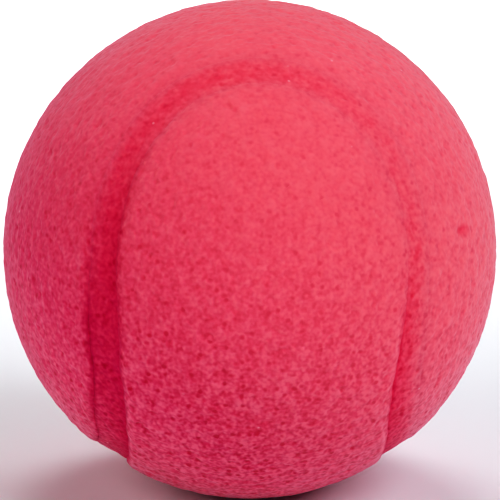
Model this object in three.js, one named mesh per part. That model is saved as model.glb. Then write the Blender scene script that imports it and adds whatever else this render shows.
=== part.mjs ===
// Soft foam play ball with a wavy seam groove, like the seam of a tennis ball.
//
// A solid foam core is wrapped in two dumbbell-shaped foam panels that lock
// around each other. Between their edges runs one endless pressed strip that
// lies lower than the panels and forms the groove.
//
// Units are millimetres, +Z is up, and the origin is the centre of the ball.
// The pieces are laid out on a round ball and drawn in to the width at the end.
// The ball faces -Y: the round end of one panel looks that way, its narrow
// waist passes under the ball, and its other round end is at the back. The
// second panel goes over the top, with its ends on the left and right.

import * as THREE from 'three';
import { mergeVertices } from 'three/addons/utils/BufferGeometryUtils.js';

// ---------------------------------------------------------------- dimensions

const BALL_HEIGHT = 70;         // outside of the cover panels, before it is set down
const BALL_WIDTH = 69.2;        // the ball is a little narrower than it is tall
const PANEL_THICKNESS = 3;      // foam sheet of the cover
const GLUE_GAP = 0.3;           // glue line under the panels and beside the strip
const SEAM_WIDTH = 5.2;         // groove, from panel edge to panel edge
const SEAM_DEPTH_FRONT = 0.9;   // groove floor below the front-back panel,
const SEAM_DEPTH_SIDE = 0.35;   // and where it slopes up to the left-right panel
const REST_PATCH_RADIUS = 4.2;  // foam flattened under the ball's own weight

// Path of the seam. PHI is the angle along the great circle X = 0 from the
// bottom of the ball (0) over the front (90) to the top (180), and W is the
// angle away from that circle towards +X, both in degrees:
//   PHI(t) = sum PHI_k sin(k t),   W(t) = sum W_k cos(k t),   k = 1, 3, 5
const SEAM_PHI = [138.0, -6.9, 1.0];
const SEAM_W = [43.6, -11.0, 2.4];

const FACET = 3.1;              // length of the facets on the outside
const CORE_DETAIL = 7;          // subdivisions of the core's twenty faces

// ------------------------------------------------------------------- derived

const R_BALL = BALL_HEIGHT / 2;
const R_PANEL_IN = R_BALL - PANEL_THICKNESS;
const R_CORE = R_PANEL_IN - GLUE_GAP;
const R_STRIP_FRONT = R_BALL - SEAM_DEPTH_FRONT;
const R_STRIP_SIDE = R_BALL - SEAM_DEPTH_SIDE;
const PANEL_EDGE = SEAM_WIDTH / 2 / R_BALL;                // angles from the
const STRIP_EDGE = (SEAM_WIDTH / 2 - GLUE_GAP) / R_BALL;   // seam's middle
const REST_Z = -Math.sqrt(R_BALL ** 2 - REST_PATCH_RADIUS ** 2);

// ---------------------------------------------------------------------- seam

// Endless curve of unit vectors along the middle of the seam.
class SeamCurve extends THREE.Curve {
  getPoint(u, target = new THREE.Vector3()) {
    const t = 2 * Math.PI * u;
    let phi = 0;
    let w = 0;
    [1, 3, 5].forEach((k, i) => {
      phi += THREE.MathUtils.degToRad(SEAM_PHI[i]) * Math.sin(k * t);
      w += THREE.MathUtils.degToRad(SEAM_W[i]) * Math.cos(k * t);
    });
    return target.set(
      Math.sin(w),
      -Math.cos(w) * Math.sin(phi),
      -Math.cos(w) * Math.cos(phi)
    );
  }
}

const seam = new SeamCurve();

// Unit vector beside the seam: a positive angle goes towards the panel that
// passes over the top, a negative one towards the panel that faces the front.
function besideSeam(u, angle) {
  const h = 1e-4;
  const middle = seam.getPoint(u);
  const along = seam.getPoint(u + h).sub(seam.getPoint(u - h));
  const across = new THREE.Vector3().crossVectors(along, middle).normalize();
  return middle.multiplyScalar(Math.cos(angle)).addScaledVector(across, Math.sin(angle));
}

// -------------------------------------------------------------------- panels

// Edge of a panel between two seam parameters, as flat panel coordinates
// spaced evenly along the ball's surface.
function edgeSpan(u0, u1, angle, steps, toFlat) {
  const fine = 600;
  const points = [];
  for (let i = 0; i <= fine; i++) points.push(besideSeam(u0 + (u1 - u0) * i / fine, angle));
  const run = [0];
  for (let i = 1; i <= fine; i++) run.push(run[i - 1] + points[i].distanceTo(points[i - 1]));
  const span = [];
  for (let s = 0, i = 0; s <= steps; s++) {
    const want = run[fine] * s / steps;
    while (i < fine - 1 && run[i + 1] < want) i++;
    const f = (want - run[i]) / (run[i + 1] - run[i]);
    span.push(toFlat(points[i].clone().lerp(points[i + 1], f).normalize()));
  }
  return { span, length: run[fine] * R_BALL };
}

// A flat blank, long x wide, is bent onto the core: its four sides follow the
// panel's edge, and the inside is spread evenly between them.
function panelGeometry({ corners, angle, toFlat, toBall, finish }) {
  const count = (a, b) => 2 * Math.round(edgeSpan(a, b, angle, 1, toFlat).length / FACET / 2);
  const [c0, c1, c2, c3, c4] = corners;
  const long = count(c0, c1);
  const wide = count(c1, c2);
  const right = edgeSpan(c0, c1, angle, long, toFlat).span;             // x up
  const far = edgeSpan(c1, c2, angle, wide, toFlat).span.reverse();     // y up
  const left = edgeSpan(c2, c3, angle, long, toFlat).span.reverse();    // x up
  const near = edgeSpan(c3, c4, angle, wide, toFlat).span;              // y up

  let blank = new THREE.BoxGeometry(long, wide, 1, long, wide, 1);
  blank.deleteAttribute('normal');
  blank.deleteAttribute('uv');
  blank = mergeVertices(blank, 1e-3);

  const flat = new THREE.Vector2();
  const at = blank.getAttribute('position');
  const p = new THREE.Vector3();
  for (let n = 0; n < at.count; n++) {
    p.fromBufferAttribute(at, n);
    const i = Math.round(p.x + long / 2);
    const j = Math.round(p.y + wide / 2);
    const x = i / long;
    const y = j / wide;
    flat.set(0, 0)
      .addScaledVector(left[i], 1 - y).addScaledVector(right[i], y)
      .addScaledVector(near[j], 1 - x).addScaledVector(far[j], x)
      .addScaledVector(left[0], -(1 - x) * (1 - y)).addScaledVector(left[long], -x * (1 - y))
      .addScaledVector(right[0], -(1 - x) * y).addScaledVector(right[long], -x * y);
    const outside = p.z > 0;
    p.copy(toBall(flat)).multiplyScalar(outside ? R_BALL : R_PANEL_IN);
    if (outside && finish) finish(p);
    at.setXYZ(n, p.x, p.y, p.z);
  }
  return shortDiagonals(blank);
}

// Every four-sided facet is split along its shorter diagonal.
function shortDiagonals(geometry) {
  const at = geometry.getAttribute('position');
  const index = Array.from(geometry.getIndex().array);
  const point = (n) => new THREE.Vector3().fromBufferAttribute(at, n);
  for (let k = 0; k < index.length; k += 6) {
    const [a, b, d, , c] = index.slice(k, k + 5);
    if (point(a).distanceTo(point(c)) < point(b).distanceTo(point(d)) - 1e-6) {
      index.splice(k, 6, a, b, c, a, c, d);
    }
  }
  geometry.setIndex(index);
  return geometry;
}

// Foam under the ball, flattened by its weight: the facets around the lowest
// point are drawn onto the rim of a round flat patch.
function restPatch(p) {
  const r = Math.hypot(p.x, p.y);
  if (p.z > 0 || r > 1.4 * REST_PATCH_RADIUS) return;
  const k = r > 0.5 ? REST_PATCH_RADIUS / r : 0;
  p.set(k * p.x, k * p.y, REST_Z);
}

// Panel that faces front and back, joined under the ball, which rests on it.
const frontBack = panelGeometry({
  corners: [-0.183, 0.183, 0.317, 0.683, 0.817],
  angle: -PANEL_EDGE,
  toFlat: (v) => new THREE.Vector2(Math.atan2(-v.y, -v.z), Math.asin(v.x)),
  toBall: (f) => new THREE.Vector3(
    Math.sin(f.y), -Math.cos(f.y) * Math.sin(f.x), -Math.cos(f.y) * Math.cos(f.x)
  ),
  finish: restPatch,
});

// Panel that faces left and right, joined over the top.
const leftRight = panelGeometry({
  corners: [0.433, 0.067, -0.067, -0.433, -0.567],
  angle: PANEL_EDGE,
  toFlat: (v) => new THREE.Vector2(Math.atan2(v.x, v.z), Math.asin(-v.y)),
  toBall: (f) => new THREE.Vector3(
    Math.cos(f.y) * Math.sin(f.x), -Math.sin(f.y), Math.cos(f.y) * Math.cos(f.x)
  ),
});

// --------------------------------------------------------------- seam strip

// A round ring with a sloping outside, bent onto the path of the seam: its
// radius stays the distance from the ball's centre, and its height becomes
// the angle beside the seam's middle.
function stripGeometry() {
  const turns = 2 * Math.round(seam.getLength() * R_BALL / (1.2 * FACET) / 2);
  const section = [
    [R_PANEL_IN, -1], [R_STRIP_FRONT, -1], [(R_STRIP_FRONT + R_STRIP_SIDE) / 2, 0], [R_STRIP_SIDE, 1],
    [R_PANEL_IN, 1], [R_PANEL_IN, 0], [R_PANEL_IN, -1],
  ].map(([r, h]) => new THREE.Vector2(r, h));
  const ring = new THREE.LatheGeometry(section, turns);
  ring.deleteAttribute('normal');
  ring.deleteAttribute('uv');
  const at = ring.getAttribute('position');
  const rings = section.length;
  for (let n = 0; n < at.count; n++) {
    const { x: r, y: h } = section[n % rings];
    const u = seam.getUtoTmapping((Math.floor(n / rings) % turns) / turns);
    const p = besideSeam(u, h * STRIP_EDGE).multiplyScalar(r);
    at.setXYZ(n, p.x, p.y, p.z);
  }
  return mergeVertices(ring, 1e-3);
}

const strip = stripGeometry();

// ---------------------------------------------------------------------- core

function coreGeometry() {
  const ball = new THREE.IcosahedronGeometry(R_CORE, CORE_DETAIL);
  ball.deleteAttribute('normal');
  ball.deleteAttribute('uv');
  return mergeVertices(ball, 1e-3);
}

// --------------------------------------------------------------------- model

// Faces point out: a piece whose signed volume is negative is turned inside out.
function facingOut(geometry) {
  const at = geometry.getAttribute('position');
  const index = geometry.getIndex().array;
  const [a, b, c] = [new THREE.Vector3(), new THREE.Vector3(), new THREE.Vector3()];
  let volume = 0;
  for (let k = 0; k < index.length; k += 3) {
    a.fromBufferAttribute(at, index[k]);
    b.fromBufferAttribute(at, index[k + 1]);
    c.fromBufferAttribute(at, index[k + 2]);
    volume += a.dot(b.cross(c)) / 6;
  }
  if (volume < 0) {
    for (let k = 0; k < index.length; k += 3) {
      [index[k + 1], index[k + 2]] = [index[k + 2], index[k + 1]];
    }
  }
  geometry.computeVertexNormals();
  return geometry;
}

function piece(name, geometry, color, roughness) {
  geometry.scale(BALL_WIDTH / BALL_HEIGHT, BALL_WIDTH / BALL_HEIGHT, 1);
  const mesh = new THREE.Mesh(
    facingOut(geometry),
    new THREE.MeshStandardMaterial({ color, roughness, metalness: 0 })
  );
  mesh.name = name;
  return mesh;
}

const ball = new THREE.Group();
ball.add(
  piece('foam_core', coreGeometry(), 0xd9405c, 0.95),
  piece('cover_panel_front_back', frontBack, 0xe8475f, 0.92),
  piece('cover_panel_left_right', leftRight, 0xe8475f, 0.92),
  piece('seam_strip', strip, 0xc01038, 0.85)
);

export default ball;
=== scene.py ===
import itertools
import math

import bpy
import numpy as np
from mathutils import Matrix, Vector


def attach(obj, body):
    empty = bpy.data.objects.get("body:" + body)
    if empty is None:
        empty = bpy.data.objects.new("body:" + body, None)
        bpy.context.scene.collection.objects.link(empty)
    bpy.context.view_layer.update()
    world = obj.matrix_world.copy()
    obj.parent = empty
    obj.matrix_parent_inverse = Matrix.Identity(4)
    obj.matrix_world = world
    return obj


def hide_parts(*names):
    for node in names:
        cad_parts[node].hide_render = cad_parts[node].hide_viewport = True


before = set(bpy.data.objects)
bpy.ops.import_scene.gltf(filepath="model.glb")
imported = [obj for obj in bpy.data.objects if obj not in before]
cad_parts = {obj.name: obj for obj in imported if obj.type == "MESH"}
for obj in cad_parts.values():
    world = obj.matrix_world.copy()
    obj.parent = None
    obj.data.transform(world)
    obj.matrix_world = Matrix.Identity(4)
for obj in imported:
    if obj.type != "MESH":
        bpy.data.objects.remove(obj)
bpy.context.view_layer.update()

# ------------------------------------------------------------------ dimensions
# Millimetres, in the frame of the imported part. The model is laid out on a round
# ball and drawn in to the ball's width at the end, as the CAD pieces are.

MM = 0.001
BALL_HEIGHT = 70.0
BALL_WIDTH = 69.2
R_BALL = BALL_HEIGHT / 2
R_PANEL_IN = 32.05
R_CORE = 31.7
SEAM_WIDTH = 5.2
REST_PATCH_RADIUS = 4.2
FLOOR_Z = -math.sqrt(R_BALL**2 - REST_PATCH_RADIUS**2)
SQUEEZE = np.array([BALL_WIDTH / BALL_HEIGHT, BALL_WIDTH / BALL_HEIGHT, 1.0])

SEAM_PHI = np.radians([138.0, -6.9, 1.0])
SEAM_W = np.radians([43.6, -11.0, 2.4])
HARMONICS = np.array([1, 3, 5])


# ----------------------------------------------------------------------- noise


def unit(v):
    return v / np.linalg.norm(v, axis=-1, keepdims=True)


def ramp(lo, hi, x):
    """Smooth step from 0 at lo to 1 at hi. lo may be the larger one."""
    f = np.clip((x - lo) / (hi - lo), 0.0, 1.0)
    return f * f * (3 - 2 * f)


def scatter(ix, iy, iz, seed):
    """A fixed value from 0 to 1 for each whole-number lattice point."""
    a, b, c = (np.uint32(k) for k in (0x8DA6B343, 0xD8163841, 0xCB1AB31F))
    with np.errstate(over="ignore"):
        n = ix.astype(np.uint32) * a + iy.astype(np.uint32) * b + iz.astype(np.uint32) * c
        n = n + np.uint32((seed * 0x9E3779B1) & 0xFFFFFFFF)
        n ^= n >> np.uint32(15)
        n *= np.uint32(0x2C1B3C6D)
        n ^= n >> np.uint32(12)
        n *= np.uint32(0x297A2D39)
        n ^= n >> np.uint32(15)
    return n.astype(np.float64) / 4294967296.0


def noise(p, size, seed):
    """Smooth noise from -1 to 1 with features of this size."""
    q = p / size
    i = np.floor(q).astype(np.int64)
    f = q - i
    f = f * f * f * (f * (f * 6 - 15) + 10)
    out = np.zeros(len(p))
    for d in itertools.product((0, 1), repeat=3):
        w = np.ones(len(p))
        for k in range(3):
            w *= f[:, k] if d[k] else 1 - f[:, k]
        out += w * scatter(i[:, 0] + d[0], i[:, 1] + d[1], i[:, 2] + d[2], seed)
    return out * 2 - 1


def cells(p, size, seed):
    """Foam cells of this size: the distances to the nearest and second nearest
    cell middle, and a fixed value from 0 to 1 for the nearest cell."""
    q = p / size
    i = np.floor(q).astype(np.int64)
    f1 = np.full(len(p), 9.0)
    f2 = np.full(len(p), 9.0)
    tag = np.zeros(len(p))
    for d in itertools.product((-1, 0, 1), repeat=3):
        c = i + np.array(d)
        middle = np.stack([scatter(*c.T, seed + k) for k in range(3)], -1) + c
        far = np.linalg.norm(middle - q, axis=1)
        nearer = far < f1
        f2 = np.where(nearer, f1, np.minimum(f2, far))
        tag = np.where(nearer, scatter(*c.T, seed + 3), tag)
        f1 = np.where(nearer, far, f1)
    return f1 * size, f2 * size, tag


# ------------------------------------------------------------------------ seam


def seam(t):
    t = np.asarray(t, float)[..., None]
    phi = (SEAM_PHI * np.sin(HARMONICS * t)).sum(-1)
    w = (SEAM_W * np.cos(HARMONICS * t)).sum(-1)
    return np.stack([np.sin(w), -np.cos(w) * np.sin(phi), -np.cos(w) * np.cos(phi)], -1)


def beside(t, mm):
    """Direction beside the seam. Positive goes towards the left-right panel."""
    t = np.asarray(t, float)
    mm = np.broadcast_to(np.asarray(mm, float), t.shape)[..., None] / R_BALL
    middle = seam(t)
    across = unit(np.cross(seam(t + 1e-4) - seam(t - 1e-4), middle))
    return middle * np.cos(mm) + across * np.sin(mm)


def spaced(t0, t1, mm, steps):
    """steps + 1 seam parameters that are evenly spaced along the line at mm."""
    t = np.linspace(t0, t1, 4001)
    p = beside(t, mm)
    run = np.r_[0, np.cumsum(np.linalg.norm(np.diff(p, axis=0), axis=1))]
    return np.interp(np.linspace(0, run[-1], steps + 1), run, t)


# The groove isn't the same all the way round. On the left legs its inner side is a
# high, steep slope, and a narrow crease runs along its outer edge. On the right legs
# the inner step is lower and the floor slopes up to the outer panel. On its bends
# the groove is a soft dip. The back is taken to be the mirror image of the front.
# Seam parameter in degrees; reach of the groove's inner and outer half, and depth at
# its inner and outer edge, in mm; how much its foam is pressed together and coloured darker,
# pressed foam and painted shade beside the step, 0 to 1, and how fast that gets less towards the outer edge.
GROOVE = np.array([
    (0, 2.3, 2.6, 0.62, 0.40, 0.85, 0.12), (10, 2.0, 3.0, 0.60, 0.34, 0.85, 0.15),
    (15, 1.8, 3.2, 0.60, 0.30, 0.85, 0.20), (20, 2.0, 3.2, 0.60, 0.26, 0.88, 0.28),
    (25, 2.4, 2.7, 0.60, 0.22, 0.96, 0.38), (30, 2.25, 2.4, 0.60, 0.20, 1.00, 0.42),
    (35, 1.9, 2.4, 0.56, 0.16, 0.92, 0.40), (40, 1.5, 2.4, 0.48, 0.14, 0.78, 0.40),
    (45, 1.3, 2.4, 0.40, 0.14, 0.62, 0.36), (50, 1.3, 2.4, 0.28, 0.14, 0.44, 0.22),
    (57, 1.5, 2.4, 0.18, 0.16, 0.34, 0.15), (65, 2.1, 2.4, 0.18, 0.18, 0.20, 0.20),
    (75, 2.3, 2.5, 0.26, 0.24, 0.36, 0.12),
    (90, 2.3, 2.6, 0.38, 0.32, 0.55, 0.12), (100, 2.4, 2.6, 0.48, 0.34, 0.55, 0.12),
    (107, 2.5, 2.6, 0.55, 0.34, 0.54, 0.12), (117, 2.2, 2.2, 0.64, 0.32, 0.70, 0.12),
    (125, 1.95, 2.3, 0.72, 0.32, 0.90, 0.12), (132, 1.85, 2.4, 0.78, 0.33, 1.0, 0.12),
    (140, 1.9, 2.7, 0.84, 0.34, 1.0, 0.12), (150, 2.15, 2.8, 0.92, 0.36, 1.0, 0.13),
    (157, 2.5, 2.6, 0.95, 0.38, 1.0, 0.20), (165, 2.7, 2.2, 0.95, 0.40, 1.0, 0.32),
    (180, 2.4, 2.4, 0.90, 0.45, 1.0, 0.35),
])


def round_the_seam(t, column):
    """A column of the table, for any seam parameter, without kinks."""
    a = np.degrees(np.arccos(np.clip(np.cos(t), -1, 1)))
    fine = np.arange(-30, 211)
    table = np.interp(180 - np.abs(180 - np.abs(fine)), GROOVE[:, 0], GROOVE[:, column])
    table = np.convolve(np.pad(table, 4, mode="edge"), np.hanning(9) / np.hanning(9).sum(), "valid")
    return np.interp(a, fine, table)


def half(t, side):
    """Distance from the seam's middle to the edge of a panel, which isn't quite straight."""
    line = seam(t) * R_BALL
    wander = 0.16 * noise(line, 5.0, 61 + side) + 0.12 * noise(line, 1.6, 71 + side)
    wander = wander * (0.35 + 0.65 * keen(t, side)) * (1 + 0.4 * ramp(0.02, -0.02, np.cos(t)))
    return round_the_seam(t, 1 if side < 0 else 2) + wander


def keen(t, side):
    """1 where the pressed foam ends at the edge of the groove, to 0 where it fades out."""
    s = np.abs(np.sin(t))
    left = ramp(0.02, -0.02, np.cos(t))
    if side < 0:
        return (1 - left) * 0.8 * ramp(0.90, 0.55, s) + left * ramp(0.998, 0.80, s)
    return left * ramp(0.92, 0.62, s)


def crisp(t, side):
    """1 where the edge of the groove is a sharp step, to 0 where it is a rounded slope."""
    s = np.abs(np.sin(t))
    left = ramp(0.02, -0.02, np.cos(t))
    if side < 0:
        return (1 - left) * 0.65 * ramp(0.86, 0.50, s) + left * (0.15 * ramp(0.998, 0.80, s) + 0.45 * ramp(0.52, 0.32, s))
    return 0.6 * keen(t, side)


def edge_depth(t, side):
    return round_the_seam(t, 3 if side < 0 else 4) + 0.03 * np.sin(11 * t + 1.0) * np.sin(4 * t)


def creased(t, side):
    """1 where panel and strip have come apart, along the outer edge of the left legs."""
    return keen(t, side) * ramp(-0.66, -0.80, np.cos(t)) if side > 0 else 0.0 * t


def crack(t, side):
    """How much lower than the floor the edge reaches there."""
    return 0.02 * creased(t, side)


def gap(t, side):
    """Space between the strip and a panel, at the surface."""
    return 0.01 + 0.02 * creased(t, side)


def foot(t, side):
    """How low a panel reaches at its edge."""
    c = crisp(t, side)
    return edge_depth(t, side) * (0.62 + 0.38 * c) + crack(t, side)


def floor_depth(t, v):
    """Depth of the groove's floor, for v from -1 at its inner edge to 1 at its outer edge."""
    inner, outer = edge_depth(t, -1), edge_depth(t, 1)
    d = inner + (outer - inner) * (v + 1) / 2
    for side, edge in ((-1, inner), (1, outer)):
        c = crisp(t, side)
        near = np.clip((side * v - 0.05) / 0.95, 0, 1)
        tip = np.clip((side * v - 0.80) / 0.20, 0, 1)
        d = d - (1 - c) * 0.38 * edge * near**2 + c * 0.08 * tip**2
    return d


def strip_press_and_shade(t, v):
    """How much the foam of the strip is pressed together and coloured darker, from 0 to 1:
    partly pressed foam and partly painted shade, most beside a sharp edge, where the step
    shades the floor. It fades out towards a soft edge, where strip and panel look like one."""
    p = np.ones(len(t)) - round_the_seam(t, 6) * (1 + v)
    for side in (-1, 1):
        k = keen(t, side)
        near = np.clip((side * v - 0.1) / 0.9, 0, 1)
        p = p - (1 - k) * 0.6 * near**1.5 + 0.25 * k * ramp(0.72, 0.95, side * v)
    return np.clip(p, 0, 1) * round_the_seam(t, 5)


# ------------------------------------------------------------------------ foam


def foam(p, size=1.0, depth=1.0):
    """Relief of cut foam in mm, and how dark each point is coloured, from 0 to 1: darker in
    the modelled hollows and pores and paler on the lumps, the foam's grain with painted shade
    in its hollows. Cells smaller than the mesh can show are left to the material."""
    f1, f2, tag = cells(p, 1.15 * size, 11)
    hollow = ramp(0.05, 0.55 * size, f2 - f1) * (0.3 + 0.7 * tag)
    g1, g2, kind = cells(p, 1.9 * size, 23)
    pore = np.where(kind < 0.6, ramp(0.50 * size, 0.12 * size, g1) * (0.45 + kind), 0.0)
    lumps = noise(p, 1.2 * size, 37)
    relief = -0.13 * hollow - 0.22 * pore + 0.10 * lumps
    pore_tone_and_shade = np.clip(0.30 * hollow + 0.85 * pore - 0.30 * lumps + 0.15, 0, 1)
    return relief * depth, pore_tone_and_shade


def scar(p):
    """1 inside the one small torn spot on the right of the ball, where deeper foam shows."""
    middle = np.array([28.05, -19.68, 7.12])
    across = unit(np.cross([0, 0, 1], middle))
    off = p - middle
    a, b = off @ across, off @ unit(np.cross(middle, across))
    return np.where((off**2).sum(1) < 9, ramp(1.0, 0.15, np.hypot(a / 2.1, b / 1.2)), 0.0)


def body(p):
    """Slow unevenness of a hand-size moulded ball, in mm."""
    return 0.05 * noise(p, 9.0, 51) + 0.07 * noise(p, 21.0, 53)


def settle(p):
    """Draws a ball laid out round in to its width, and rests it on the floor."""
    p = p * SQUEEZE
    low = p[:, 2] < FLOOR_Z
    p[low, 2] = FLOOR_Z + 0.02 * (p[low, 2] - FLOOR_Z)
    return p * MM


# ---------------------------------------------------------------------- meshes


def facing_out(points, faces):
    """Turns all faces of a closed mesh round if they face inwards."""
    volume = 0.0
    for k in (3, 4):
        f = np.array([f for f in faces if len(f) == k])
        for j in range(1, k - 1):
            a, b, c = (points[f[:, i]] for i in (0, j, j + 1)) if len(f) else (np.zeros((1, 3)),) * 3
            volume += (a * np.cross(b, c)).sum()
    return faces if volume > 0 else [f[::-1] for f in faces]


def add_mesh(name, points, faces, pore_tone_and_shade, press_and_shade, material):
    faces = facing_out(points, faces)
    mesh = bpy.data.meshes.new(name)
    mesh.from_pydata(points.tolist(), [], faces)
    mesh.validate()
    mesh.polygons.foreach_set("use_smooth", np.ones(len(mesh.polygons), bool))
    for key, values in (("pore_tone_and_shade", pore_tone_and_shade), ("press_and_shade", press_and_shade)):
        at = mesh.attributes.new(key, "FLOAT", "POINT")
        at.data.foreach_set("value", values.astype(np.float32))
    mesh.materials.append(material)
    mesh.update()
    obj = bpy.data.objects.new(name, mesh)
    bpy.context.collection.objects.link(obj)
    return obj


def patch(side, corners, counts, inset, to_flat, to_ball):
    """Directions of a grid that fills a panel to inset mm from its edge, with
    the seam parameters around its rim."""
    nu, nv = counts
    mm = side * (SEAM_WIDTH / 2 + inset)
    sides = [
        spaced(2 * math.pi * a, 2 * math.pi * b, mm, n)
        for a, b, n in zip(corners, corners[1:], (nu, nv, nu, nv))
    ]
    right, far, left, near = (to_flat(beside(t, mm)) for t in sides)
    far, left = far[::-1], left[::-1]
    x = np.linspace(0, 1, nu + 1)[:, None, None]
    y = np.linspace(0, 1, nv + 1)[None, :, None]
    flat = (
        left[:, None] * (1 - y) + right[:, None] * y
        + near[None] * (1 - x) + far[None] * x
        - left[0] * (1 - x) * (1 - y) - left[-1] * x * (1 - y)
        - right[0] * (1 - x) * y - right[-1] * x * y
    )
    rim = np.concatenate([s[:-1] for s in sides])
    return to_ball(flat), rim


def rim_of(nu, nv, first=0):
    """Vertex numbers around the edge of a grid, in the order of its rim."""
    n = np.arange((nu + 1) * (nv + 1)).reshape(nu + 1, nv + 1) + first
    return np.concatenate([n[:-1, nv], n[nu, nv:0:-1], n[nu:0:-1, 0], n[0, :-1]])


def grid_faces(nu, nv, first=0):
    n = np.arange((nu + 1) * (nv + 1)).reshape(nu + 1, nv + 1) + first
    a, b, c, d = n[:-1, :-1], n[1:, :-1], n[1:, 1:], n[:-1, 1:]
    return np.stack([a, b, c, d], -1).reshape(-1, 4)


def ring_faces(outer, inner):
    return np.stack([outer, inner, np.roll(inner, -1), np.roll(outer, -1)], -1)


def panel(name, side, corners, counts, coarse, to_flat, to_ball, material):
    """One cover panel: a fine foam skin, a rounded shoulder that goes down into
    the groove, a wall and a plain underside."""
    nu, nv = counts
    inset = 1.9
    grid, rim = patch(side, corners, counts, inset, to_flat, to_ball)
    dirs = [grid.reshape(-1, 3)]
    sharp = crisp(rim, side)
    low = foot(rim, side)
    edge = half(rim, side)
    full = SEAM_WIDTH / 2 + inset
    keenly = keen(rim, side)
    ends = 0.9 if side > 0 else 0.6 + 0.35 * ramp(0.45, 0.65, np.abs(np.sin(rim))) * ramp(0.02, -0.02, np.cos(rim))
    reach = np.minimum(2.3 - 1.1 * sharp, full - edge)     # width of the rounded shoulder
    rows = len(rim)
    drops = [np.zeros(len(dirs[0]))]
    press_and_shade = [np.zeros(len(dirs[0]))]
    crest_light_crease_shade = [np.zeros(len(dirs[0]))]
    # The shoulder, in rows that follow the seam. Its sharp crest is painted paler, a painted highlight, and beside
    # a crease the foam is painted darker, painted shade.
    steps = np.array((1.65, 1.4, 1.18, 0.98, 0.8, 0.64, 0.5, 0.37, 0.25, 0.15, 0.07, 0.02, 0.0)) / inset
    for f in steps:
        away = (full - edge) * f
        dirs.append(beside(rim, side * (edge + away)))
        x = np.clip(away / reach, 0, 1)
        quarter = 1 - np.sqrt(np.clip(1 - (1 - x) ** 2, 0, 1))
        drops.append(low * (0.6 * sharp * quarter + (1 - 0.6 * sharp) * (1 - x) ** 2))
        # Towards its foot the shoulder takes the darker pressed colour: pressed foam and painted shade on the
        # step.
        pressed_and_shaded = (1 - keenly) * (1 - x) ** 2 + keenly * ramp(ends, 0.0, away / 1.6)
        press_and_shade.append(pressed_and_shaded * strip_press_and_shade(rim, float(side)))
        crest_light_crease_shade.append(sharp * ramp(0.04, 0.22, away) * ramp(1.3, 0.5, away) - 1.3 * creased(rim, side) * ramp(0.25, 0.0, away))
    dirs = np.concatenate(dirs)
    drop = np.concatenate(drops)
    round_ball = dirs * R_BALL
    relief, pore_tone_and_shade = foam(round_ball)
    torn = scar(round_ball)
    relief = relief - 0.08 * torn
    pore_tone_and_shade = np.clip(pore_tone_and_shade - 0.35 * np.concatenate(crest_light_crease_shade), 0, 2.5)
    press_and_shade = [np.maximum(np.concatenate(press_and_shade), 0.68 * torn)]
    ease = np.ones(len(dirs))
    ease[len(grid.reshape(-1, 3)):] = np.repeat(np.linspace(0.95, 0.35, len(steps)), rows)
    points = dirs * (R_BALL + body(round_ball) + relief * ease - drop)[:, None]
    # The wall, straight down to the underside.
    foot_line = dirs[-rows:]
    top = np.linalg.norm(points[-rows:], axis=1)
    lows = [foot_line * (top + (R_PANEL_IN - top) * f)[:, None] for f in (0.35, 0.7, 1.0)]
    points = np.concatenate([points] + lows)
    # The underside, a coarse grid sewn to the wall.
    cu, cv = coarse
    under, _ = patch(side, corners, coarse, 1.5, to_flat, to_ball)
    under_first = len(points)
    points = np.concatenate([points, under.reshape(-1, 3) * R_PANEL_IN])
    pore_tone_and_shade = np.concatenate([pore_tone_and_shade, np.full(len(points) - len(pore_tone_and_shade), 0.6)])
    press_and_shade = np.concatenate(press_and_shade)
    press_and_shade = np.concatenate([press_and_shade, np.full(len(points) - len(press_and_shade), 1.0)])

    faces = [grid_faces(nu, nv)]
    loop = rim_of(nu, nv)
    for k in range(len(steps) + len(lows)):
        nxt = np.arange(rows) + (nu + 1) * (nv + 1) + k * rows
        faces.append(ring_faces(nxt, loop))
        loop = nxt
    faces.append(grid_faces(cu, cv, under_first)[:, ::-1])
    faces = [f for block in faces for f in block.tolist()]
    inner = rim_of(cu, cv, under_first)
    per = rows // len(inner)
    for k in range(len(inner)):
        a, b = int(inner[k]), int(inner[(k + 1) % len(inner)])
        fine = [int(loop[(k * per + j) % rows]) for j in range(per + 1)]
        middle = per // 2
        for j in range(per):
            faces.append([fine[j], fine[j + 1], a if j < middle else b])
        faces.append([fine[middle], b, a])
    return add_mesh(name, settle(points), faces, pore_tone_and_shade, press_and_shade, material)


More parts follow.
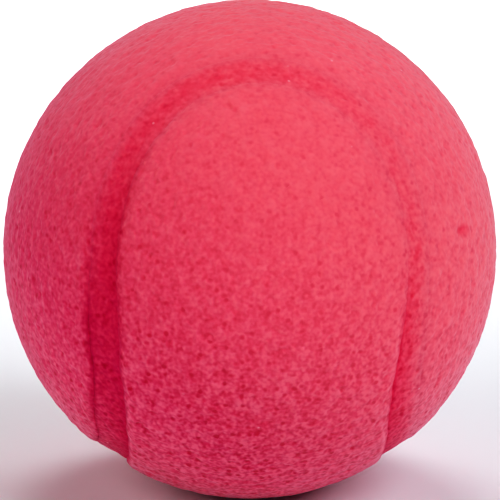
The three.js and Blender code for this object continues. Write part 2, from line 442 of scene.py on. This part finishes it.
def strip(name, turns, material):
    """The pressed strip at the bottom of the groove."""
    t = spaced(0, 2 * math.pi, 0.0, turns)[:-1]
    inner = half(t, -1) - gap(t, -1)
    outer = half(t, 1) - gap(t, 1)
    v = np.array([-1, -0.985, -0.95, -0.9, -0.84, -0.77, -0.69, -0.6, -0.5, -0.4, -0.3, -0.2, -0.1, 0])
    v = np.r_[v, -v[-2::-1]]
    rows = [beside(t, x * (inner if x < 0 else outer)) for x in v]
    low = [floor_depth(t, x) for x in v]
    press_and_shade = [strip_press_and_shade(t, x) for x in v]
    dirs = np.stack(rows)
    drop = np.stack(low)
    flat = dirs.reshape(-1, 3)
    # Its relief ends like that of the panels, so that soft edges have no line.
    ease = np.repeat(ramp(0.6, 1.0, np.abs(v)), turns)
    depth = (1 - 0.45 * np.concatenate(press_and_shade)) * (1 - ease) + 0.35 * ease
    relief, pore_tone_and_shade = foam(flat * R_BALL, 1.0, depth)
    # Painted shade: the strip is coloured darker along the crease at its outer edge.
    pore_tone_and_shade = np.maximum(pore_tone_and_shade, np.concatenate([0.8 * creased(t, 1) * ramp(0.80, 0.96, x) for x in v]))
    r = R_BALL + body(flat * R_BALL) + relief - drop.reshape(-1)
    top = (flat * r[:, None]).reshape(len(v), turns, 3)
    bottom = [unit(top[k]) * R_PANEL_IN for k in (-1, len(v) // 2, 0)]
    mid = [unit(top[k]) * (0.5 * (np.linalg.norm(top[k], axis=1) + R_PANEL_IN))[:, None] for k in (-1, 0)]
    loops = [*top, mid[0], *bottom, mid[1]]
    points = np.concatenate(loops)
    pore_tone_and_shade = np.r_[pore_tone_and_shade, np.full(len(points) - len(pore_tone_and_shade), 0.6)]
    press_and_shade = np.concatenate(press_and_shade)
    press_and_shade = np.r_[press_and_shade, np.full(len(points) - len(press_and_shade), 1.0)]
    n = len(loops)
    faces = []
    for k in range(n):
        a = np.arange(turns) + k * turns
        b = np.arange(turns) + ((k + 1) % n) * turns
        faces += ring_faces(a, b).tolist()
    return add_mesh(name, settle(points), faces, pore_tone_and_shade, press_and_shade, material)


def core(name, material):
    """The foam ball inside."""
    n, m = 160, 80
    a = np.linspace(0, 2 * math.pi, n, endpoint=False)
    b = np.linspace(0, math.pi, m + 1)[1:-1]
    dirs = np.stack(
        [np.outer(np.sin(b), np.cos(a)), np.outer(np.sin(b), np.sin(a)), np.outer(np.cos(b), np.ones(n))], -1
    ).reshape(-1, 3)
    dirs = np.concatenate([dirs, [[0, 0, 1], [0, 0, -1]]])
    relief, pore_tone_and_shade = foam(dirs * R_CORE, 1.6, 1.0)
    points = dirs * (R_CORE + relief)[:, None]
    faces = []
    for k in range(m - 2):
        r0 = np.arange(n) + k * n
        faces += ring_faces(r0, r0 + n).tolist()
    top, bottom = (m - 1) * n, (m - 1) * n + 1
    last = (m - 2) * n
    for k in range(n):
        faces.append([top, k, (k + 1) % n])
        faces.append([bottom, last + (k + 1) % n, last + k])
    return add_mesh(name, points * SQUEEZE * MM, faces, pore_tone_and_shade, np.zeros(len(points)), material)


# ------------------------------------------------------------------- materials


def foam_material(name, loose_shaded, loose_lit, pressed_and_shaded, pressed_lit, cell, relief, sheen, glow):
    """Cut foam: pale struts, a skin colour and deep pores, in a shaded and a lit copy for
    loose foam and for pressed foam. The lit copies are paler: painted light on the side
    towards the key lamp. The pressed colours are deeper red, partly pressed foam and partly
    painted shade in the groove. cell is the size of a foam cell and relief the depth of its grain, in mm."""
    mat = bpy.data.materials.new(name)
    mat.use_nodes = True
    nodes, links = mat.node_tree.nodes, mat.node_tree.links
    nodes.clear()

    def node(kind, **values):
        n = nodes.new(kind)
        for k, v in values.items():
            setattr(n, k, v)
        return n

    def put(n, key, value):
        n.inputs[key].default_value = value

    def calc(op, *args, clamp=False):
        n = node("ShaderNodeMath", operation=op, use_clamp=clamp)
        for k, v in enumerate(args):
            if isinstance(v, (int, float)):
                n.inputs[k].default_value = v
            else:
                links.new(v, n.inputs[k])
        return n.outputs["Value"]

    def steps(value, lo, hi, to_lo=0.0, to_hi=1.0):
        n = node("ShaderNodeMapRange", interpolation_type="SMOOTHSTEP")
        for k, v in enumerate((lo, hi, to_lo, to_hi)):
            n.inputs[k + 1].default_value = v
        links.new(value, n.inputs[0])
        return n.outputs[0]

    out = node("ShaderNodeOutputMaterial")
    shader = node("ShaderNodeBsdfPrincipled")
    links.new(shader.outputs["BSDF"], out.inputs["Surface"])
    where = node("ShaderNodeTexCoord")
    scale = node("ShaderNodeVectorMath", operation="SCALE")
    put(scale, "Scale", 1000.0)
    links.new(where.outputs["Object"], scale.inputs[0])
    mm = scale.outputs["Vector"]

    def noise_tex(size, detail, rough):
        n = node("ShaderNodeTexNoise")
        put(n, "Scale", 1.0 / size)
        put(n, "Detail", detail)
        put(n, "Roughness", rough)
        links.new(mm, n.inputs["Vector"])
        return n.outputs["Fac"]

    def cell_tex(size):
        n = node("ShaderNodeTexVoronoi", feature="F1")
        put(n, "Scale", 1.0 / size)
        links.new(mm, n.inputs["Vector"])
        kind = node("ShaderNodeSeparateColor")
        links.new(n.outputs["Color"], kind.inputs["Color"])
        return n.outputs["Distance"], kind.outputs["Red"]

    def carried(key):
        n = node("ShaderNodeAttribute", attribute_type="GEOMETRY", attribute_name=key)
        return n.outputs["Fac"]

    pore_tone_and_shade, press_and_shade = carried("pore_tone_and_shade"), carried("press_and_shade")
    far, kind = cell_tex(1.5 * cell)
    small = calc("MULTIPLY", steps(far, 0.46, 0.06), steps(kind, 0.05, 1.0))
    grain = noise_tex(0.68 * cell, 0.6, 0.5)
    lumps = noise_tex(1.3 * cell, 1.0, 0.5)
    slow = noise_tex(8.0, 2.0, 0.5)
    # Rare pale specks: painted glints of the foam's struts.
    glint, rare = cell_tex(2.0)
    glint = calc("MULTIPLY", steps(glint, 0.13, 0.05), steps(rare, 0.955, 0.965))

    # How dark each spot is coloured: modelled pores, small pores, grain and slow drift. It is darker where the
    # bump lies lower: painted shade in the foam's hollows.
    deep = calc("MULTIPLY_ADD", pore_tone_and_shade, 0.30, calc("MULTIPLY", small, 0.75))
    deep = calc("ADD", deep, calc("MULTIPLY_ADD", grain, -1.18, 0.63))
    deep = calc("ADD", deep, calc("MULTIPLY_ADD", lumps, -1.10, 0.67))
    deep = calc("ADD", deep, calc("MULTIPLY_ADD", slow, 0.30, -0.15))

    # Painted shade: the grain is given more contrast below and on the right, where the light grazes, than on the
    # left and on top, and less on the lit side.
    def towards(side, scale, middle, clamp=False):
        n = node("ShaderNodeVectorMath", operation="DOT_PRODUCT")
        links.new(mm, n.inputs[0])
        n.inputs[1].default_value = side
        return calc("MULTIPLY_ADD", n.outputs["Value"], scale / R_BALL, middle, clamp=clamp)

    # Painted light: 0 away from the key lamp, up to 1 on the side towards it, where the foam is coloured paler.
    key_lit = towards(KEY_LIT_SIDE, 1.0, 0.30, clamp=True)
    grain_shade_gain = calc("MULTIPLY", towards(GRAZING_SHADE_SIDE, 0.46, 0.80), calc("MULTIPLY_ADD", key_lit, -0.20, 1.15))
    deep = calc("MULTIPLY_ADD", calc("SUBTRACT", deep, 0.4), grain_shade_gain, 0.55, clamp=True)

    # Three colours for loose foam and three for pressed foam, each in a shaded and a lit copy.
    def colours(three):
        n = node("ShaderNodeValToRGB")
        ends = n.color_ramp
        for k, place in enumerate((0.0, 0.5, 1.0)):
            e = ends.elements[k] if k == 0 else ends.elements.new(place) if k == 1 else ends.elements[-1]
            e.position = place
            e.color = (*three[k], 1)
        links.new(deep, n.inputs["Fac"])
        return n.outputs["Color"]

    def mixed(factor, a, b):
        n = node("ShaderNodeMix", data_type="RGBA")
        for key, value in (("Factor", factor), ("A", a), ("B", b)):
            links.new(value, n.inputs[key])
        return n.outputs["Result"]

    # Loose foam: its shaded copy, mixed into its paler lit copy towards the key lamp, as painted light.
    loose = mixed(key_lit, colours(loose_shaded), colours(loose_lit))
    # The edge of the pressed foam is ragged: it follows the lumps of the foam.
    between = calc("MULTIPLY", press_and_shade, calc("SUBTRACT", 1.0, press_and_shade))
    ragged = calc("MULTIPLY", between, calc("MULTIPLY_ADD", lumps, -4.0, 2.0))
    ragged = calc("ADD", press_and_shade, ragged, clamp=True)
    # The darker pressed colour is partly pressed foam and partly painted shade in the groove.
    colour = mixed(ragged, loose, mixed(key_lit, colours(pressed_and_shaded), colours(pressed_lit)))
    # The painted glints are mixed into the foam colour.
    glint_colour = node("ShaderNodeMix", data_type="RGBA")
    links.new(calc("MULTIPLY", glint, 0.45), glint_colour.inputs["Factor"])
    links.new(colour, glint_colour.inputs["A"])
    glint_colour.inputs["B"].default_value = (0.90, 0.42, 0.48, 1)
    links.new(glint_colour.outputs["Result"], shader.inputs["Base Color"])
    links.new(steps(grain, 0.2, 0.8, 0.82, 1.0), shader.inputs["Roughness"])

    height = calc("MULTIPLY_ADD", small, -0.30, calc("MULTIPLY", lumps, 0.4))
    height = calc("MULTIPLY_ADD", grain, 1.0, height)
    height = calc("MULTIPLY", height, calc("MULTIPLY_ADD", press_and_shade, -0.35, 1.0))
    bump = node("ShaderNodeBump")
    put(bump, "Strength", 1.0)
    put(bump, "Distance", relief * MM)
    links.new(height, bump.inputs["Height"])
    links.new(bump.outputs["Normal"], shader.inputs["Normal"])

    # Pressed foam has no fuzz left to catch the light.
    gloss = calc("MULTIPLY", steps(deep, 0.1, 0.9, 0.55, 0.15), calc("MULTIPLY_ADD", press_and_shade, -0.7, 1.0))
    links.new(gloss, shader.inputs["Specular IOR Level"])
    links.new(calc("MULTIPLY_ADD", press_and_shade, -0.7 * sheen, sheen), shader.inputs["Sheen Weight"])
    put(shader, "Sheen Roughness", 0.5)
    put(shader, "Sheen Tint", (0.80, 0.95, 1.0, 1))
    put(shader, "Subsurface Weight", 0.35)
    put(shader, "Subsurface Radius", (1.0, 0.12, 0.18))
    put(shader, "Subsurface Scale", glow * MM)
    return mat


# Painted light: the side towards the key lamp, which is coloured paler.
KEY_LIT_SIDE = (0.590, -0.315, 0.743)
# Painted shade: the side where the light grazes, where the grain is given more contrast.
GRAZING_SHADE_SIDE = (0.65, -0.10, -0.75)
# Painted light: the lit copies are paler and hazier than the shaded copies of the same foam. The pressed colours
# are deeper red, partly pressed foam and partly painted shade in the groove.
LOOSE_SHADED = ((0.88, 0.118, 0.222), (0.7425, 0.030, 0.130), (0.595, 0.001, 0.056))
LOOSE_LIT = ((0.94, 0.1505, 0.190), (0.891, 0.1155, 0.165), (0.811, 0.0815, 0.135))
PRESSED_SHADED = ((0.69, 0.0185, 0.114), (0.5875, 0.0056, 0.0855), (0.495, 0.001, 0.0595))
PRESSED_LIT = ((0.89, 0.044, 0.1025), (0.803, 0.0227, 0.078), (0.708, 0.0066, 0.053))
PANEL = foam_material("panel_foam", LOOSE_SHADED, LOOSE_LIT, PRESSED_SHADED, PRESSED_LIT, 0.75, 0.085, 0.25, 2.0)
PRESSED = foam_material("pressed_foam", LOOSE_SHADED, LOOSE_LIT, PRESSED_SHADED, PRESSED_LIT, 0.75, 0.085, 0.25, 2.0)
INNER = foam_material("core_foam", LOOSE_SHADED, LOOSE_LIT, PRESSED_SHADED, PRESSED_LIT, 1.1, 0.3, 0.10, 2.0)

# ---------------------------------------------------------------------- pieces

front_back = panel(
    "foam_panel_front_back",
    -1,
    (-0.183, 0.183, 0.317, 0.683, 0.817),
    (504, 144),
    (42, 12),
    lambda v: np.stack([np.arctan2(-v[..., 1], -v[..., 2]), np.arcsin(v[..., 0])], -1),
    lambda f: np.stack(
        [np.sin(f[..., 1]), -np.cos(f[..., 1]) * np.sin(f[..., 0]), -np.cos(f[..., 1]) * np.cos(f[..., 0])], -1
    ),
    PANEL,
)
left_right = panel(
    "foam_panel_left_right",
    1,
    (0.433, 0.067, -0.067, -0.433, -0.567),
    (440, 176),
    (40, 16),
    lambda v: np.stack([np.arctan2(v[..., 0], v[..., 2]), np.arcsin(-v[..., 1])], -1),
    lambda f: np.stack(
        [np.cos(f[..., 1]) * np.sin(f[..., 0]), -np.sin(f[..., 1]), np.cos(f[..., 1]) * np.cos(f[..., 0])], -1
    ),
    PANEL,
)
seam_piece = strip("pressed_seam", 1400, PRESSED)
core_piece = core("foam_core_ball", INNER)

for piece, node, slot in (
    (front_back, "cover_panel_front_back", "panel_foam"),
    (left_right, "cover_panel_left_right", "panel_foam"),
    (seam_piece, "seam_strip", "pressed_foam"),
    (core_piece, "foam_core", "core_foam"),
):
    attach(piece, "root")
    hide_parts(node)

# ----------------------------------------------------------------------- stage

scene = bpy.context.scene

# A round pale floor whose rim curves up all round, so that low views end on it too.
FLOOR_RADIUS, COVE, AROUND = 1.0, 0.3, 96
around = np.linspace(0, 2 * math.pi, AROUND, endpoint=False)
rings = [(r, 0.0) for r in (0.25, 0.5, 0.75)] + [
    (FLOOR_RADIUS + COVE * math.sin(a), COVE * (1 - math.cos(a))) for a in np.radians(np.linspace(0, 75, 16))
]
floor_points = [(0.0, 0.0, FLOOR_Z * MM)] + [
    (r * math.cos(a), r * math.sin(a), FLOOR_Z * MM + z) for r, z in rings for a in around
]
floor_faces = [(0, 1 + k, 1 + (k + 1) % AROUND) for k in range(AROUND)]
for j in range(len(rings) - 1):
    for k in range(AROUND):
        a, b = 1 + j * AROUND + k, 1 + j * AROUND + (k + 1) % AROUND
        floor_faces.append((a, a + AROUND, b + AROUND, b))
floor_mesh = bpy.data.meshes.new("floor")
floor_mesh.from_pydata(floor_points, [], floor_faces)
floor_mesh.polygons.foreach_set("use_smooth", np.ones(len(floor_faces), bool))
floor = bpy.data.objects.new("floor", floor_mesh)
bpy.context.collection.objects.link(floor)
floor_mat = bpy.data.materials.new("floor_white")
floor_mat.use_nodes = True
floor_shader = floor_mat.node_tree.nodes["Principled BSDF"]
floor_shader.inputs["Base Color"].default_value = (0.88, 0.90, 0.95, 1)
floor_shader.inputs["Roughness"].default_value = 0.9
# The rim glows: painted light that stands in for a backdrop lit from behind.
floor_nodes, floor_links = floor_mat.node_tree.nodes, floor_mat.node_tree.links
floor_where = floor_nodes.new("ShaderNodeTexCoord")
floor_flat = floor_nodes.new("ShaderNodeVectorMath")
floor_flat.operation = "MULTIPLY"
floor_flat.inputs[1].default_value = (1, 1, 0)
floor_far = floor_nodes.new("ShaderNodeVectorMath")
floor_far.operation = "LENGTH"
floor_glow = floor_nodes.new("ShaderNodeMapRange")
floor_glow.interpolation_type = "SMOOTHSTEP"
for k, x in enumerate((0.75, 1.15, 0.0, 0.30)):
    floor_glow.inputs[k + 1].default_value = x
floor_links.new(floor_where.outputs["Object"], floor_flat.inputs[0])
floor_links.new(floor_flat.outputs["Vector"], floor_far.inputs[0])
floor_links.new(floor_far.outputs["Value"], floor_glow.inputs[0])
floor_links.new(floor_glow.outputs[0], floor_shader.inputs["Emission Strength"])
floor_shader.inputs["Emission Color"].default_value = (0.95, 0.97, 1.0, 1)
floor_mesh.materials.append(floor_mat)

# Camera: the photograph looks a little down on the ball, from slightly left.
ELEVATION, YAW, ROLL = math.radians(13.0), math.radians(-2.81), math.radians(0.6)
DISTANCE = 0.45
forward = -Vector(
    (math.sin(YAW) * math.cos(ELEVATION), -math.cos(YAW) * math.cos(ELEVATION), math.sin(ELEVATION))
)
level = Vector((math.cos(YAW), math.sin(YAW), 0))
upward = level.cross(forward)
right = level * math.cos(ROLL) + upward * math.sin(ROLL)
above = upward * math.cos(ROLL) - level * math.sin(ROLL)
camera_data = bpy.data.cameras.new("camera")
camera_data.lens = 230.35
camera_data.sensor_width = 36.0
camera_data.clip_start = 0.01
camera = bpy.data.objects.new("camera", camera_data)
bpy.context.collection.objects.link(camera)
spot = -forward * DISTANCE - above * 0.000126
turn = Matrix((right, above, -forward)).transposed()
camera.matrix_world = Matrix.Translation(spot) @ turn.to_4x4()
scene.camera = camera


def softbox(name, azimuth, elevation, distance, size, watts, tint=(1, 1, 1)):
    """A square soft light that faces the ball. Azimuth 0 is the camera's side,
    and 90 is the right."""
    a, e = math.radians(azimuth), math.radians(elevation)
    data = bpy.data.lights.new(name, "AREA")
    data.shape = "SQUARE"
    data.size = size
    data.energy = watts
    data.color = tint
    lamp = bpy.data.objects.new(name, data)
    bpy.context.collection.objects.link(lamp)
    lamp.location = (
        distance * math.sin(a) * math.cos(e), -distance * math.cos(a) * math.cos(e), distance * math.sin(e)
    )
    lamp.rotation_euler = (-lamp.location).to_track_quat("-Z", "Y").to_euler()
    lamp.visible_camera = False
    return lamp


WARM, COOL = (1.0, 0.96, 0.92), (0.93, 0.965, 1.0)
softbox("key_right", 50, 42, 1.0, 0.6, 6.7, COOL)
softbox("fill_left", -55, 34, 1.0, 0.6, 3.3, WARM)
softbox("front", -15, 22, 1.0, 0.6, 0.5, COOL)
softbox("back_top", 180, 65, 1.0, 0.6, 0.8)
softbox("rim_right", 130, 22, 1.0, 0.6, 0.5, COOL)
softbox("rim_left", -130, 20, 1.0, 0.6, 1.0, WARM)

# One lamp shines straight down on the floor behind the ball.
lamp = softbox("background", 180, 50, 0.9, 0.4, 2.0)
lamp.location = (0, 0.48, 0.8)
lamp.rotation_euler = (0, 0, 0)
lamp.data.spread = math.radians(62)

world = bpy.data.worlds.new("studio")
world.use_nodes = True
world.node_tree.nodes["Background"].inputs["Color"].default_value = (1, 1, 1, 1)
world.node_tree.nodes["Background"].inputs["Strength"].default_value = 0.01
scene.world = world

scene.view_settings.view_transform = "Standard"
scene.view_settings.look = "None"

# A photograph's contrast curve: deep shadows and a soft shoulder.
scene.view_settings.use_curve_mapping = True
tone = scene.view_settings.curve_mapping
for x in (0.02, 0.05, 0.1, 0.2, 0.35, 0.5, 0.65, 0.8, 0.9):
    tone.curves[3].points.new(x, x**1.6 * 1.8 / (x**1.6 + 0.8))
tone.update()
